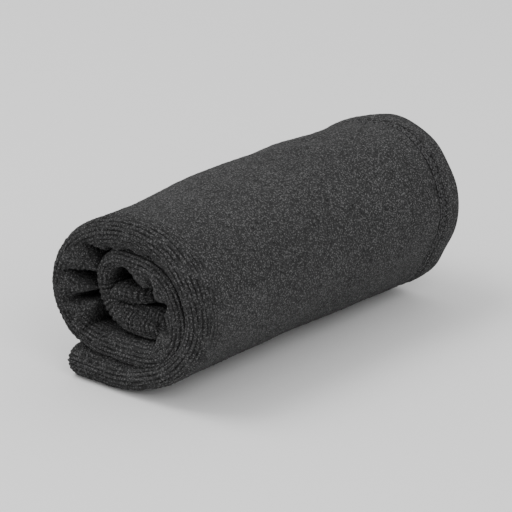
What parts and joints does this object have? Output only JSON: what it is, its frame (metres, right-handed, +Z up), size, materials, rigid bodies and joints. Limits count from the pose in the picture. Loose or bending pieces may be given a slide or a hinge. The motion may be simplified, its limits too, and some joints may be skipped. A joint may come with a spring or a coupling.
{
  "type": "quick dry towel",
  "caption": "Soft terry travel towel, folded in half lengthwise and rolled into a loose spiral, with double-stitched hems and a free end that lifts.",
  "frame": {"origin": "middle of the roll on the surface it lies on", "axes": "+Y along the roll from the lengthwise fold to the open hems, +Z up, the free end of the cloth at -X"},
  "size_m": [0.097, 0.2, 0.091],
  "materials": {
    "terry": "charcoal microfibre terry pile, matt",
    "thread": "charcoal polyester sewing thread"
  },
  "bodies": {
    "roll": {"terry_outer_turn": "terry", "terry_middle_turn": "terry", "terry_core_turns": "terry", "outer_long_hem": "terry", "inner_long_hem": "terry", "core_end_hem": "terry", "outer_hem_stitch_row_1": "thread", "outer_hem_stitch_row_2": "thread", "inner_hem_stitch_row_1": "thread", "inner_hem_stitch_row_2": "thread", "core_hem_stitch_row_1": "thread", "core_hem_stitch_row_2": "thread"},
    "free_end": {"free_end_hem": "terry", "free_end_stitch_row_1": "thread", "free_end_stitch_row_2": "thread"}
  },
  "joints": [
    {"name": "free_end_lift", "type": "hinge", "parent": "roll", "child": "free_end", "pos_m": [-0.022, 0, 0.016], "axis": [0, 1, 0], "range_deg": [0, 22]}
  ]
}
